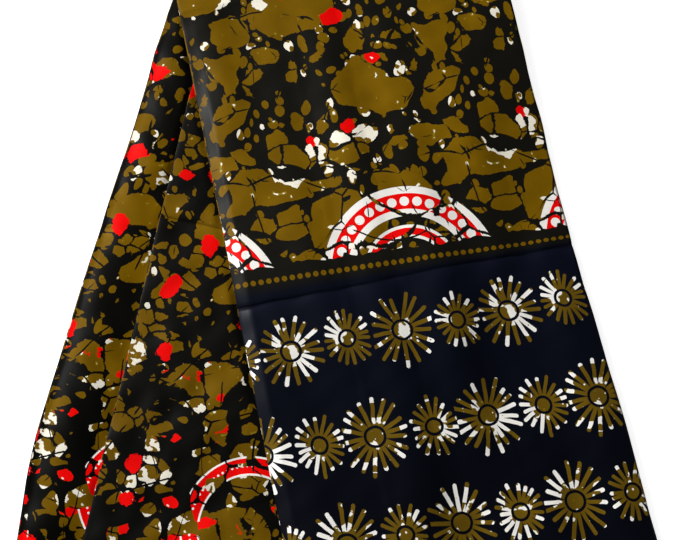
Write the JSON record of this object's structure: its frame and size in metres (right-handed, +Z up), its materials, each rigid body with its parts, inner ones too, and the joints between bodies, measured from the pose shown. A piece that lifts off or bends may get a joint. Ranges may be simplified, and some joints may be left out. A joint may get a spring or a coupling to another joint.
{
  "type": "folded length of african wax print fabric",
  "caption": "Long cut of patterned wax-print cotton, folded into a narrow stack and doubled over once, lying flat with its back half fanned out to the left.",
  "frame": {"origin": "on the surface, under the middle of the folded cloth's outline", "axes": "+Y towards the doubled-over fold, +X to the right seen with that fold at the top, +Z up out of the stack"},
  "size_m": [0.585, 0.6446, 0.018],
  "materials": {
    "front_print": "calendered cotton, olive, white and red wax print on blue-black",
    "turn_print": "calendered cotton, olive wax print on black",
    "upper_print": "calendered cotton, olive, red and white wax print on black",
    "lower_print": "calendered cotton, olive, red and white wax print on black",
    "stack_print": "folded edges and underside of the same printed cotton"
  },
  "bodies": {
    "root": {"front_panel": "front_print", "top_turn": "turn_print", "back_panel_upper": "upper_print", "back_panel_lower": "lower_print", "hidden_layers": "stack_print"}
  },
  "joints": []
}
